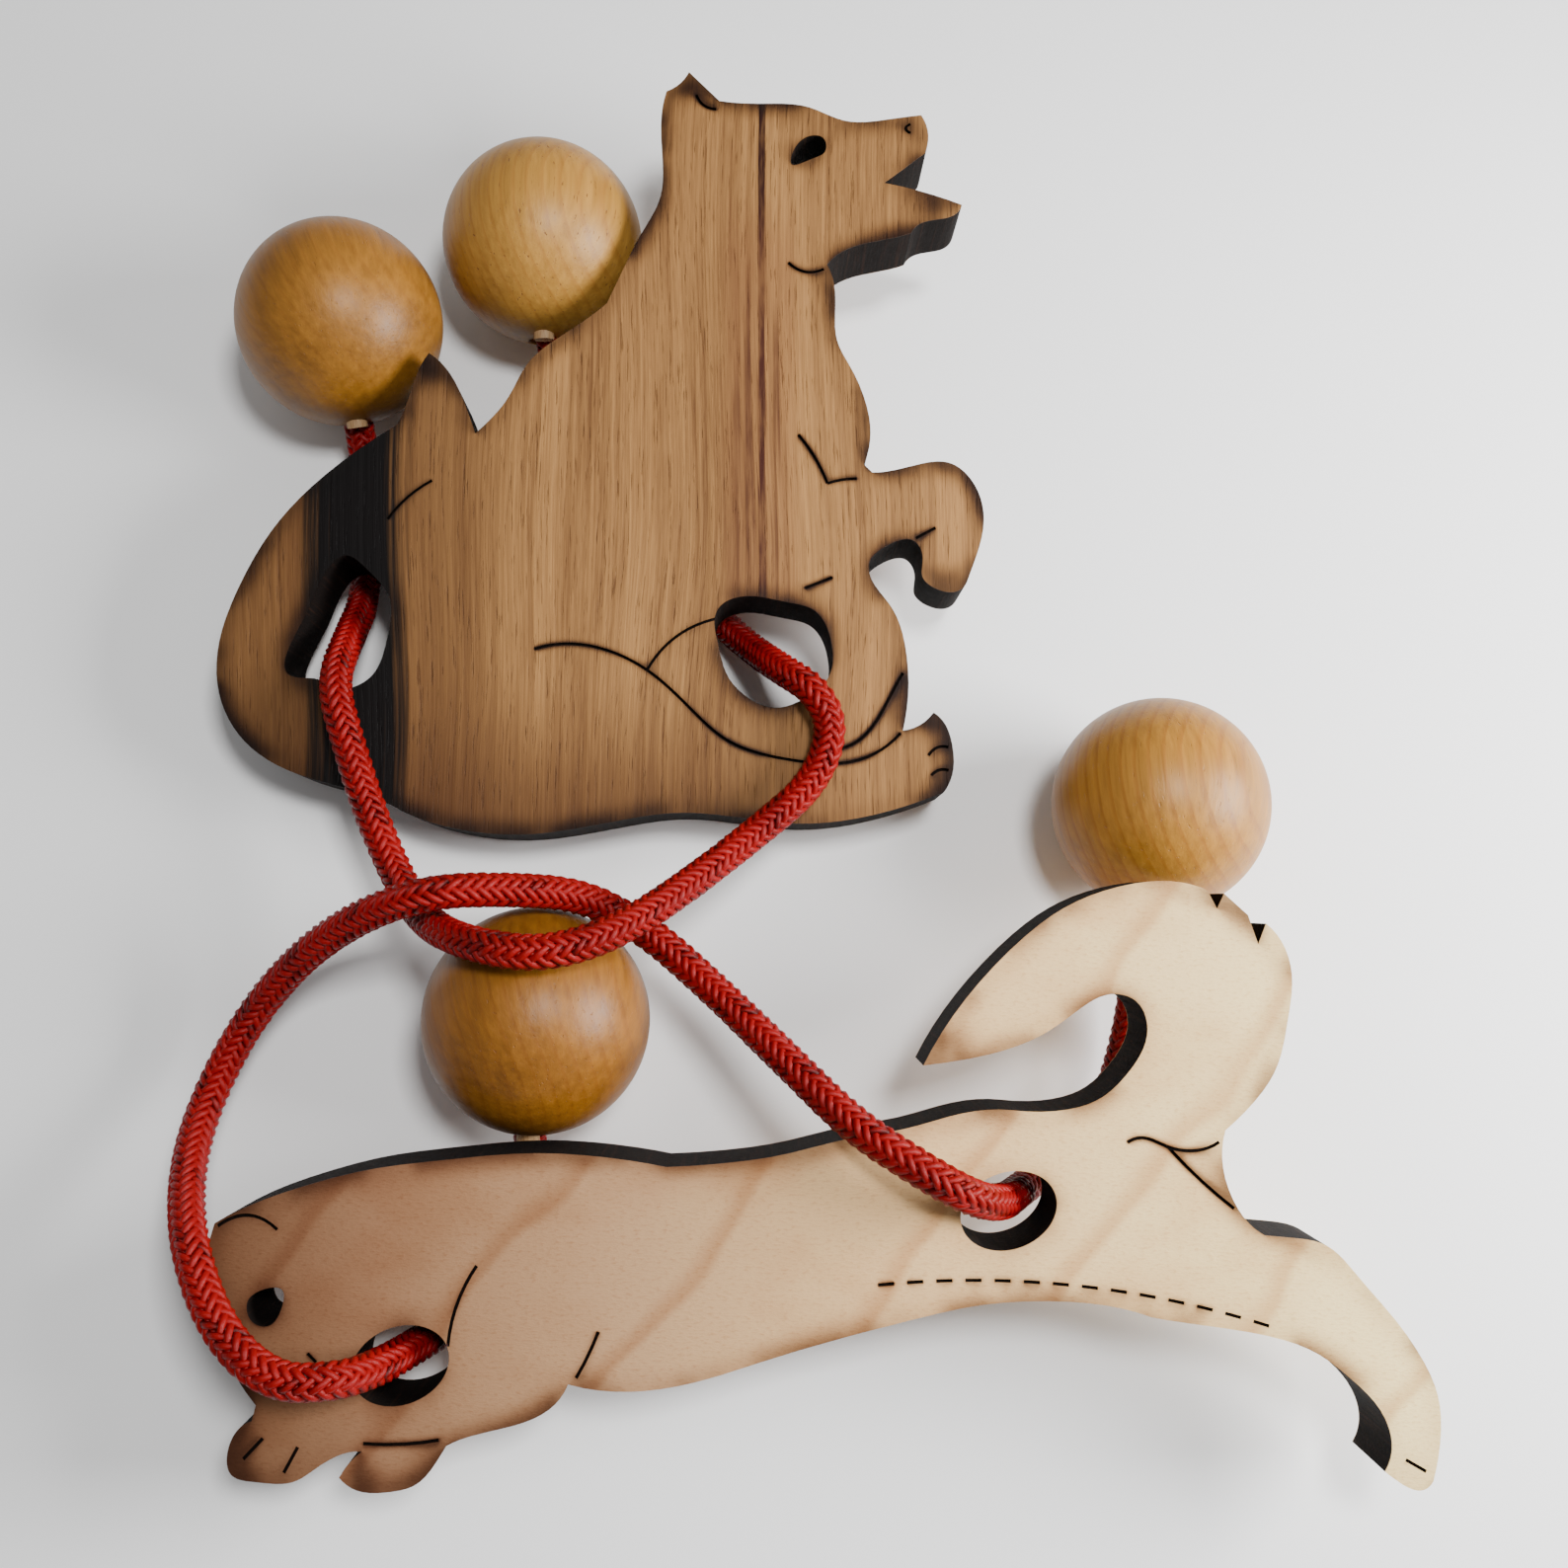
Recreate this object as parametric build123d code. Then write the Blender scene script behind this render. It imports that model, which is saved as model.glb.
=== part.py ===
from build123d import *
from math import cos, pi, radians, sin, sqrt, tan
import os

# String-and-ball disentanglement puzzle: a sitting dog and a leaping fox, sawn from 9 mm board.
# Each figure holds its own red cord, with a wooden ball on each end, and the two cords are hooked
# through each other in front. The puzzle lies on a table: Z = 0 is the table, +Z up, and the origin
# is under the middle of the whole puzzle. All sizes are in millimetres.

# ---- driving dimensions ------------------------------------------------------------------------
BOARD = 9.0                 # thickness of both figures
DOG_WIDTH = 91.8            # dog, rump to paw
FOX_LENGTH = 128.5          # fox, forehead to hind foot
BALL_D = 25.4               # all four balls
CORD_D = 4.0                # both cords
PEG_D = 2.6                 # wedge peg beside the cord in each ball
PEG_LENGTH = 9.0
PEG_PROUD = 0.6             # how far a peg's end stands out of its ball
BORE_DEPTH = 10.0           # blind bore in each ball, measured from the ball's surface
BORE_CLEARANCE = 0.12       # between cord and bore all round
PEG_CLEARANCE = 0.06        # between peg and cord, so that the ball can turn on its cord
PEG_OFFSET = 3.1            # from the bore's axis to the peg's axis
GROOVE_W = 0.36             # engraved lines
GROOVE_DEPTH = 0.6
FOX_HOLE = (10.4, 7.9)      # long and short axis of the fox's two oval holes
FOX_HOLE_TILT = 20.0        # of each oval, in degrees

# ---- how the figures lie -----------------------------------------------------------------------
# Each figure leans on its own cord. Its frame starts at the lower left corner of the board's back,
# with u along the board, v up the board and w out of the front.
DOG_PLACE = Location((-66.8, -10.7, 0.4), (8.4, -1.0, 0.0))
FOX_PLACE = Location((-60.6, -81.4, 4.5), (10.5, -2.0, 0.0))
DRAWN_DOG_WIDTH = 91.8      # the width that the dog's points below are drawn for
DRAWN_FOX_LENGTH = 128.5    # the length that the fox's points below are drawn for
DRAWN_BALL_D = 25.4         # the ball that the gaps beside the boards are chosen for
BALLS_APART = 1.0           # the least gap between the dog's two balls

# ---- the dog's shape: each row is one stretch, a line if it has one point, else a smooth curve --
DOG_START = (55.9, 95.7)
DOG_OUTLINE = [
    # ear, forehead and muzzle
    [(59.7, 91.9)],
    [(65.1, 91.6), (70.9, 91.2), (75.2, 89.5), (80.9, 89.7), (85.0, 90.3)],
    [(85.8, 88.2), (85.4, 85.3)],
    # open mouth and lower jaw
    [(83.1, 83.5), (80.2, 81.3)],
    [(84.9, 80.2), (89.9, 78.5)],
    [(88.9, 77.2), (85.7, 76.4), (83.5, 74.8)],
    [(79.2, 73.7), (75.7, 72.7), (73.0, 70.6)],
    # throat and chest
    [(74.0, 66.0), (74.2, 60.7), (75.9, 57.2), (77.5, 53.3), (77.3, 45.1)],
    [(78.3, 44.1)],
    # raised foreleg and paw
    [(83.0, 44.9), (87.9, 45.3), (91.0, 42.2), (91.8, 37.6), (90.8, 33.6), (89.6, 30.4)],
    [(88.3, 29.3), (86.2, 29.5), (84.2, 31.2), (84.3, 33.6), (83.2, 35.6), (80.8, 35.4), (77.8, 32.9)],
    # elbow and shin, down to the ankle
    [(77.9, 31.2), (80.2, 27.7), (82.2, 21.3), (82.3, 16.7), (81.6, 12.3)],
    # hind foot
    [(83.5, 12.9), (85.3, 14.5)],
    [(86.4, 13.5), (87.5, 10.5), (87.5, 7.3), (86.4, 4.9)],
    # sole and belly
    [(81.0, 3.0), (68.4, 1.2), (60.8, 2.1), (54.6, 2.5), (48.4, 1.7), (37.2, 0.0), (28.6, 0.7), (22.3, 2.8)],
    # tail wrapped round the rump, up to its tip
    [(15.4, 5.6), (8.3, 7.9), (3.4, 11.4), (0.4, 17.2), (0.3, 23.2), (2.3, 29.6), (6.4, 37.2), (12.6, 43.9),
     (20.6, 49.8)],
    [(22.0, 53.3), (23.0, 56.5), (24.3, 58.9)],
    [(26.4, 57.0), (28.5, 53.2), (30.1, 48.8)],
    # back and nape
    [(32.0, 50.7), (33.8, 53.0), (36.2, 57.5), (41.4, 61.9), (45.9, 65.4)],
    [(47.6, 69.2), (50.0, 74.3), (52.3, 78.9), (52.5, 86.0), (53.1, 93.1)],
    [(54.6, 94.0), (55.9, 95.7)],
]
DOG_TAIL_HOLE = [
    (10.6, 18.7), (8.2, 19.6), (9.0, 23.6), (10.8, 27.4), (12.6, 31.6), (14.9, 33.6),
    (17.6, 31.8), (20.2, 28.6), (20.0, 23.0), (18.0, 18.6), (14.3, 17.4),
]
DOG_FLANK_HOLE = [
    (59.2, 24.2), (60.4, 28.0), (63.2, 28.7), (67.6, 28.0), (71.0, 27.0),
    (73.2, 22.6), (72.8, 18.9), (70.3, 16.5), (66.0, 15.1), (61.7, 17.5),
]
DOG_EYE = [(68.6, 83.9), (69.2, 86.0), (70.9, 87.4), (72.7, 87.1), (72.9, 85.4), (71.3, 84.4)]
DOG_LINES = [
    [(56.8, 92.7), (57.9, 91.2), (59.3, 90.8)],
    [(83.6, 89.1), (83.0, 88.5), (83.6, 87.9)],
    [(68.2, 70.8), (70.4, 69.6), (72.6, 70.0)],
    [(69.3, 48.8), (71.2, 46.1), (72.8, 42.7)],
    [(72.8, 42.7), (74.8, 43.2), (76.4, 43.3)],
    [(70.0, 29.7), (73.3, 31.0)],
    [(37.6, 22.2), (44.6, 22.5), (51.1, 19.6), (56.2, 15.0), (60.5, 11.2), (68.1, 8.8), (74.4, 8.4), (81.3, 12.0)],
    [(51.1, 19.8), (54.6, 23.8), (59.2, 25.9)],
    [(73.0, 10.0), (76.5, 11.3), (79.6, 15.5), (81.7, 19.3)],
    [(71.8, 13.0), (72.9, 13.9), (74.1, 14.1)],
    [(84.6, 9.3), (85.8, 10.3), (87.0, 10.3)],
    [(84.9, 6.9), (86.1, 7.6), (87.0, 7.5)],
    [(19.8, 38.1), (22.1, 40.8), (25.0, 42.9)],
    [(83.5, 35.9), (85.9, 37.2)],
]

# ---- the fox's shape ---------------------------------------------------------------------------
FOX_START = (1.0, 27.9)
FOX_OUTLINE = [
    # crown, back and loin
    [(3.9, 29.4), (9.7, 31.5), (16.9, 33.3), (24.2, 34.2), (33.8, 34.9), (41.0, 34.5), (48.0, 33.4)],
    [(53.4, 33.7), (60.7, 34.7), (67.0, 36.2), (73.0, 37.2), (78.7, 38.7), (84.4, 39.1)],
    # inside of the tail's curl, out to the tip
    [(90.0, 39.1), (93.6, 40.2), (96.8, 43.0), (98.9, 47.6), (97.8, 50.4), (95.2, 51.2), (91.4, 49.4),
     (87.8, 47.0), (83.5, 45.3), (79.5, 44.4), (75.1, 43.8)],
    # outside of the tail, with its two notches
    [(76.5, 46.3), (80.2, 51.4), (84.9, 56.3), (90.4, 60.4), (96.3, 62.6), (102.1, 63.1), (105.6, 62.2)],
    [(106.6, 60.2)],
    [(107.4, 61.8)],
    [(109.9, 59.5)],
    [(110.9, 56.4)],
    [(111.8, 58.6)],
    [(113.4, 56.7), (114.4, 53.3), (113.9, 48.7), (112.3, 43.0), (109.6, 39.4), (106.9, 36.9)],
    # rump and hind leg
    [(106.5, 33.6), (107.4, 30.0), (109.2, 27.2), (110.8, 26.0)],
    [(114.0, 25.7), (117.1, 25.0), (120.4, 21.8), (123.8, 17.8), (126.6, 13.8), (128.4, 9.5), (128.5, 5.1),
     (127.6, 0.9)],
    # hind foot
    [(126.3, 0.0), (124.4, 0.6), (122.6, 1.9)],
    [(123.4, 5.2), (122.3, 8.2), (119.5, 11.2), (115.9, 13.9), (110.0, 15.9), (104.5, 16.8), (98.7, 17.7)],
    # belly
    [(94.2, 18.9), (88.6, 19.4), (81.2, 19.1), (72.8, 17.4), (65.6, 15.6), (58.2, 13.5), (51.0, 11.4),
     (43.8, 10.5), (37.9, 11.3)],
    # elbow and forepaws
    [(36.0, 8.8), (30.7, 6.8), (25.4, 5.2)],
    [(24.4, 3.6), (22.4, 1.4), (19.4, 0.6), (16.6, 0.7), (14.4, 2.1)],
    [(15.2, 3.3), (16.7, 4.7)],
    [(14.0, 4.2), (12.1, 3.1), (10.0, 1.8), (6.0, 1.7), (3.3, 2.5), (3.0, 5.2), (5.3, 7.8)],
    [(5.7, 9.4)],
    # muzzle, cheek and brow
    [(4.1, 11.5), (1.9, 15.4), (0.4, 20.4), (0.3, 24.6), (1.0, 27.9)],
]
FOX_HOLES = [(20.5, 13.3), (83.9, 28.7)]
FOX_EYE = [(4.5, 19.6), (6.5, 21.2), (8.1, 21.1), (8.0, 18.8), (6.8, 17.4), (5.1, 17.8)]
FOX_LINES = [
    [(1.3, 27.6), (4.4, 28.7), (7.5, 27.2)],
    [(10.9, 14.6), (11.8, 13.7)],
    [(28.3, 23.4), (26.1, 18.9), (25.4, 15.2)],
    [(41.0, 16.6), (39.8, 13.9), (38.7, 11.9)],
    [(6.5, 6.1), (4.5, 4.0)],
    [(10.1, 5.2), (8.7, 2.6)],
    [(16.8, 5.5), (20.7, 5.4), (24.6, 5.8)],
    [(96.5, 35.7), (98.6, 36.1), (100.8, 35.2), (103.4, 34.8), (106.2, 35.7)],
    [(100.8, 35.2), (104.2, 31.7), (107.6, 28.8)],
    [(124.8, 3.1), (126.9, 1.9)],
]
# a row of short dashes that follows the belly
FOX_DASHES = 14
FOX_DASH_LENGTH = 1.7
FOX_DASH_PITCH = 3.05
FOX_DASH_TOP = (79.5, 21.6)  # highest point of the arc that the row lies on
FOX_DASH_RADIUS = 104.0      # of that arc
FOX_DASH_FIRST = -9.4        # along the arc from its highest point

# ---- the balls ---------------------------------------------------------------------------------
# Each lies on the table beside its board: name, node of the board, the nearest point of the board's
# edge (u, v, w), the direction from there to the ball in degrees, the gap between the two, and the
# direction of the bore that the cord comes out of.
BALLS = [
    ("dog_tail_ball", "dog_figure", (23.8, 58.1, 2.6), 149.0, 1.40, (2.0, -11.9, -6.9)),
    ("dog_back_ball", "dog_figure", (48.7, 71.7, 0.4), 155.0, 0.40, (0.3, -11.9, -4.2)),
    ("fox_head_ball", "fox_figure", (33.0, 34.9, 0.0), 91.0, 0.45, (-1.0, -15.0, -7.0)),
    ("fox_tail_ball", "fox_figure", (103.1, 63.0, 0.0), 77.0, 0.35, (-1.5, -12.0, -4.0)),
]
DOG_CORD_ENDS = (18.0, 18.0)  # straight ends in the tail ball and the back ball, from each centre
FOX_CORD_ENDS = (16.0, 16.0)  # in the head ball and the tail ball

# ---- the cords: corners of each route, from the first ball to the second ------------------------
# The dog's cord runs behind the tail, out of the tail hole, under the fox's loop, over the fox's
# head ball, over the fox's cord, and back in through the flank hole.
DOG_CORD = [
    (-52.1, 20.8, 2.3), (-52.3, 12.9, 9.2), (-52.4, 4.8, 15.7), (-50.0, -2.6, 15.9),
    (-47.4, -10.6, 14.0), (-44.0, -18.0, 13.4), (-39.9, -23.8, 17.8), (-34.2, -27.5, 26.0),
    (-26.9, -29.2, 28.2), (-20.9, -27.6, 26.4), (-15.5, -24.1, 22.6), (-9.3, -18.6, 17.6),
    (-2.6, -12.6, 14.4), (3.8, -6.9, 13.8), (6.2, -0.4, 14.8), (4.0, 3.9, 16.0), (0.2, 7.5, 13.0),
    (-2.9, 12.2, 6.4), (-6.9, 17.4, 2.2), (-13.4, 26.6, 2.8), (-20.3, 37.0, 3.2),
]
# The fox's cord runs under the head, out of the front hole, round the forehead, over the dog's loop
# and back under it, across the back and in through the rear hole.
FOX_CORD = [
    (-30.8, -62.0, 2.4), (-36.4, -66.4, 2.6), (-39.8, -68.6, 10.6), (-42.8, -70.3, 18.4),
    (-45.6, -70.8, 23.2), (-51.4, -70.8, 23.8), (-57.4, -66.2, 22.6), (-62.2, -57.4, 20.0),
    (-65.4, -48.8, 12.0), (-64.3, -39.4, 7.6), (-58.8, -30.4, 9.8), (-49.8, -24.6, 18.0),
    (-39.0, -22.0, 25.8), (-30.4, -21.2, 23.0), (-22.4, -20.9, 18.2), (-14.9, -24.8, 15.0),
    (-7.6, -31.6, 16.6), (-0.2, -39.5, 21.6), (6.2, -46.4, 25.4), (12.4, -50.8, 27.8),
    (18.4, -54.2, 26.8), (22.8, -54.6, 19.4), (26.0, -53.4, 11.0), (31.0, -50.4, 7.4),
    (36.8, -46.4, 5.0), (41.0, -37.4, 4.6),
]
ARC_SHARE = 0.45            # share of the shorter run that each arc takes up


def sketch_curve(points):
    return Line(*points) if len(points) == 2 else Spline(*points)


def scaled(point, scale):
    return (point[0] * scale, point[1] * scale)


def outline_face(start, stretches, scale):
    edges = []
    last = scaled(start, scale)
    for stretch in stretches:
        points = [last] + [scaled(p, scale) for p in stretch]
        edges.append(sketch_curve(points))
        last = points[-1]
    return make_face(edges)


def closed_face(points, scale):
    return make_face(Spline(*[scaled(p, scale) for p in points], periodic=True))


def groove(points, scale):
    line = sketch_curve([scaled(p, scale) for p in points])
    face = trace(line, line_width=GROOVE_W)
    return Pos(0, 0, BOARD - GROOVE_DEPTH) * extrude(face, amount=GROOVE_DEPTH + 1)


def through(face):
    return Pos(0, 0, -1) * extrude(face, amount=BOARD + 2)


def dog_board(scale):
    board = extrude(outline_face(DOG_START, DOG_OUTLINE, scale), amount=BOARD)
    for hole in (DOG_TAIL_HOLE, DOG_FLANK_HOLE, DOG_EYE):
        board -= through(closed_face(hole, scale))
    for line in DOG_LINES:
        board -= groove(line, scale)
    return board


def on_dash_arc(distance):
    turn = distance / FOX_DASH_RADIUS
    u, v = FOX_DASH_TOP
    return (u + FOX_DASH_RADIUS * sin(turn), v - FOX_DASH_RADIUS * (1 - cos(turn)))


def dash_lines():
    starts = [FOX_DASH_FIRST + i * FOX_DASH_PITCH for i in range(FOX_DASHES)]
    return [[on_dash_arc(s), on_dash_arc(s + FOX_DASH_LENGTH)] for s in starts]


def fox_board(scale):
    board = extrude(outline_face(FOX_START, FOX_OUTLINE, scale), amount=BOARD)
    oval = Rot(0, 0, FOX_HOLE_TILT) * Ellipse(FOX_HOLE[0] / 2, FOX_HOLE[1] / 2)
    for u, v in FOX_HOLES:
        board -= through(Pos(u * scale, v * scale) * oval)
    board -= through(closed_face(FOX_EYE, scale))
    for line in FOX_LINES + dash_lines():
        board -= groove(line, scale)
    return board


def ball_centre(place, scale, edge, heading, gap):
    # a bigger ball keeps a bigger gap, because its peg's end stands further under the board
    u, v, w = edge
    point = (place * Location((u * scale, v * scale, w))).position
    reach = sqrt((BALL_D / 2 + gap * (BALL_D / DRAWN_BALL_D) ** 4) ** 2 - (point.Z - BALL_D / 2) ** 2)
    return Vector(point.X + reach * cos(radians(heading)), point.Y + reach * sin(radians(heading)), BALL_D / 2)


def clear_of(centre, heading, other):
    # rolls a ball away along its heading until it clears the other ball
    way = Vector(cos(radians(heading)), sin(radians(heading)), 0)
    between = centre - other
    missing = (BALL_D + BALLS_APART) ** 2 - between.dot(between)
    if missing <= 0:
        return centre
    along = between.dot(way)
    return centre + way * (sqrt(along**2 + missing) - along)


def drilled_ball(centre, way_out):
    # the ball and its peg; the bore and the peg are parallel, with the peg on the bore's upper side
    bore_plane = Plane(centre, x_dir=Vector(0, 0, 1).cross(way_out), z_dir=way_out)
    peg_side = bore_plane.y_dir if bore_plane.y_dir.Z > 0 else -bore_plane.y_dir
    peg_plane = Plane(centre + peg_side * PEG_OFFSET, x_dir=bore_plane.x_dir, z_dir=way_out)
    bore_bottom = BALL_D / 2 - BORE_DEPTH
    peg_top = sqrt((BALL_D / 2) ** 2 - PEG_OFFSET**2) + PEG_PROUD
    bore = bore_plane * Pos(0, 0, bore_bottom) * rod(CORD_D / 2 + BORE_CLEARANCE, BALL_D)
    room = bore_plane * Pos(0, 0, bore_bottom) * rod(CORD_D / 2 + PEG_CLEARANCE, BALL_D)
    peg = peg_plane * Pos(0, 0, peg_top - PEG_LENGTH) * rod(PEG_D / 2, PEG_LENGTH)
    return Pos(*centre) * Sphere(BALL_D / 2) - bore - peg, peg - room


def rod(radius, length):
    return Cylinder(radius, length, align=(Align.CENTER, Align.CENTER, Align.MIN))


def bored_end(centre, way_out, length):
    # the cord's end at the bore's bottom, and the corner where it starts to bend outside
    way = way_out.normalized()
    return [centre + way * (BALL_D / 2 - BORE_DEPTH), centre + way * length]


def cord_tube(name, points):
    runs = [(b - a).length for a, b in zip(points, points[1:])]
    turns = [(b - a).get_angle(c - b) for a, b, c in zip(points, points[1:], points[2:])]
    radii = [ARC_SHARE * min(runs[i], runs[i + 1]) / tan(radians(turns[i] / 2)) for i in range(len(turns))]
    path = FilletPolyline(*points, radius=radii)
    tube = sweep(Plane(path @ 0, z_dir=path % 0) * Circle(CORD_D / 2), path=path)
    section = tube.volume / path.length / (pi * CORD_D**2 / 4)
    print(name, "length", round(path.length, 1), "volume over section x length", round(section, 4))
    print("  radii", [round(r, 1) for r in radii])
    return tube


dog_scale = DOG_WIDTH / DRAWN_DOG_WIDTH
fox_scale = FOX_LENGTH / DRAWN_FOX_LENGTH
places = {"dog_figure": DOG_PLACE, "fox_figure": FOX_PLACE}
scales = {"dog_figure": dog_scale, "fox_figure": fox_scale}
nodes = {"dog_figure": DOG_PLACE * dog_board(dog_scale), "fox_figure": FOX_PLACE * fox_board(fox_scale)}

centres = {}
ways = {}
for name, board, edge, heading, gap, way in BALLS:
    centres[name] = ball_centre(places[board], scales[board], edge, heading, gap)
    ways[name] = Vector(*way)
centres["dog_tail_ball"] = clear_of(centres["dog_tail_ball"], BALLS[0][3], centres["dog_back_ball"])
for name in centres:
    nodes[name], nodes[name.replace("ball", "peg")] = drilled_ball(centres[name], ways[name])
    print(name, "centre", centres[name], "bore", ways[name].normalized())

for name, first, second, route, ends in (
    ("dog_cord", "dog_tail_ball", "dog_back_ball", DOG_CORD, DOG_CORD_ENDS),
    ("fox_cord", "fox_head_ball", "fox_tail_ball", FOX_CORD, FOX_CORD_ENDS),
):
    start = bored_end(centres[first], ways[first], ends[0])
    finish = bored_end(centres[second], ways[second], ends[1])
    nodes[name] = cord_tube(name, start + [Vector(*p) for p in route] + finish[::-1])

os.makedirs("parts", exist_ok=True)
for name, shape in nodes.items():
    shape.label = name
    export_step(shape, f"parts/{name}.step")
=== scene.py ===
# %% [markdown]
# # A string-and-ball puzzle with a dog and a fox
# The dog and the fox are sawn from board, each is threaded with a red braided cord, and each cord
# ends in two drilled wooden balls. The boards and the little pegs come from the design model,
# where their shape is exact. Here the cords get their braid, the balls their drilled form, and
# everything its finish. All lengths below are in metres.

# %% Load the design model
from math import cos, pi, radians, sin, sqrt
import bpy
from mathutils import Euler, Matrix, Vector


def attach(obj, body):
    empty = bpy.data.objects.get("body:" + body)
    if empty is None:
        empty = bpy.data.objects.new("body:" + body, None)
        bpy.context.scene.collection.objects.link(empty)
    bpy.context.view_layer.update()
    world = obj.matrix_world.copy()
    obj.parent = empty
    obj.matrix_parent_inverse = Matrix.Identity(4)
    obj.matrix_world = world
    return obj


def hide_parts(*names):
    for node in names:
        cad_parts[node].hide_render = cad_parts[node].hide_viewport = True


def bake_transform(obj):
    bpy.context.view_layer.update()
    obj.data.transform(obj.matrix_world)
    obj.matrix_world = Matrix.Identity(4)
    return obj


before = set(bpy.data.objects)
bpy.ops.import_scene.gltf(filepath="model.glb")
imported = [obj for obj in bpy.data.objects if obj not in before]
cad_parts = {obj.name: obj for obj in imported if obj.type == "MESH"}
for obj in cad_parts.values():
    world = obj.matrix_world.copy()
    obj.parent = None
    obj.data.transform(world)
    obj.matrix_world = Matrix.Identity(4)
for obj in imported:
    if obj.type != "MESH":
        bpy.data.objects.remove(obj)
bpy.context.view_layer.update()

MM = 0.001
bpy.ops.object.select_all(action="DESELECT")

# %% [markdown]
# ## The camera
# The puzzle lies on a table and is seen from nearly straight above, from a little below the
# middle of the scene, so that the walls at the far side of each board show as dark rims. A camera
# looks along its own -Z axis, so its rotation is built from the direction it looks in and the
# direction to its right.

# %% Place the camera
CAMERA_PLACE = Vector((-0.0079, -0.0531, 0.18662))
CAMERA_LEAN_X = radians(2.61)
CAMERA_LEAN_Y = radians(14.92)
CAMERA_LENS = 35.1

look = Vector((sin(CAMERA_LEAN_X), sin(CAMERA_LEAN_Y), 0))
look.z = -sqrt(1 - look.length_squared)
right = (Vector((1, 0, 0)) - look * look.x).normalized()
up = right.cross(look)
camera_data = bpy.data.cameras.new("camera")
camera_data.lens = CAMERA_LENS
camera_data.sensor_width = 36.0
camera_data.clip_start = 0.01
camera = bpy.data.objects.new("camera", camera_data)
bpy.context.scene.collection.objects.link(camera)
camera_turn = Matrix((right, up, -look)).transposed()
camera.matrix_world = Matrix.Translation(CAMERA_PLACE) @ camera_turn.to_4x4()
bpy.context.scene.camera = camera
print("camera looks along", tuple(round(v, 3) for v in look))

# %% [markdown]
# ## The routes of the two cords
# Each cord is one soft line from ball to ball, through two holes of its own figure. The two loops
# are hooked through each other in front. A smooth spline is steered by a short list of points,
# the same ones as in the design model. The first and the last two points lie on the axis of a
# ball's bore, so that the cord leaves its ball straight.

# %% Balls and bores
BALL_R = 12.7 * MM
BORE_DEPTH = 10 * MM
BORE_R = 2.12 * MM
BALLS = {
    "dog_tail_ball": {"centre": (-55.11, 53.59), "bore": (2.0, -11.9, -6.9), "bend": 18.0},
    "dog_back_ball": {"centre": (-29.98, 65.58), "bore": (0.3, -11.9, -4.2), "bend": 18.0},
    "fox_head_ball": {"centre": (-27.85, -34.17), "bore": (-1.0, -15.0, -7.0), "bend": 16.0},
    "fox_tail_ball": {"centre": (44.94, -9.27), "bore": (-1.5, -12.0, -4.0), "bend": 16.0},
}


def ball_centre(name):
    x, y = BALLS[name]["centre"]
    return Vector((x * MM, y * MM, BALL_R))


def bore_way(name):
    return Vector(BALLS[name]["bore"]).normalized()


def cord_end(name):
    # the end at the bottom of the bore, and the point where the cord starts to bend outside
    reaches = (BALL_R - BORE_DEPTH, BALLS[name]["bend"] * MM)
    return [ball_centre(name) + bore_way(name) * reach for reach in reaches]


for name in BALLS:
    print(name, "centre", tuple(round(v, 4) for v in ball_centre(name)))

# %% Steering points, in millimetres
DOG_CORD = [
    (-52.1, 20.8, 2.3), (-52.3, 12.9, 9.2), (-52.4, 4.8, 15.7), (-50.0, -2.6, 15.9),
    (-47.4, -10.6, 14.0), (-44.0, -18.0, 13.4), (-39.9, -23.8, 17.8), (-34.2, -27.5, 26.0),
    (-26.9, -29.2, 28.2), (-20.9, -27.6, 26.4), (-15.5, -24.1, 22.6), (-9.3, -18.6, 17.6),
    (-2.6, -12.6, 14.4), (3.8, -6.9, 13.8), (6.2, -0.4, 14.8), (4.0, 3.9, 16.0), (0.2, 7.5, 13.0),
    (-2.9, 12.2, 6.4), (-6.9, 17.4, 2.2), (-13.4, 26.6, 2.8), (-20.3, 37.0, 3.2),
]
FOX_CORD = [
    (-30.8, -62.0, 2.4), (-36.4, -66.4, 2.6), (-39.8, -68.6, 10.6), (-42.8, -70.3, 18.4),
    (-45.6, -70.8, 23.2), (-51.4, -70.8, 23.8), (-57.4, -66.2, 22.6), (-62.2, -57.4, 20.0),
    (-65.4, -48.8, 12.0), (-64.3, -39.4, 7.6), (-58.8, -30.4, 9.8), (-49.8, -24.6, 18.0),
    (-39.0, -22.0, 25.8), (-30.4, -21.2, 23.0), (-22.4, -20.9, 18.2), (-14.9, -24.8, 15.0),
    (-7.6, -31.6, 16.6), (-0.2, -39.5, 21.6), (6.2, -46.4, 25.4), (12.4, -50.8, 27.8),
    (18.4, -54.2, 26.8), (22.8, -54.6, 19.4), (26.0, -53.4, 11.0), (31.0, -50.4, 7.4),
    (36.8, -46.4, 5.0), (41.0, -37.4, 4.6),
]

# %% [markdown]
# ## From steering points to a line
# A NURBS spline of order 3 runs smoothly near its steering points and ends exactly on the first
# and the last. The order and the end rule are set after the points are there, because Blender
# limits the order to the number of points. A curve with no thickness turns into a mesh of plain
# vertices, which gives evenly flowing points to lay the braid along.

# %% Lay each route as a spline and read it back
SPLINE_STEPS = 40           # vertices per steering point


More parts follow.
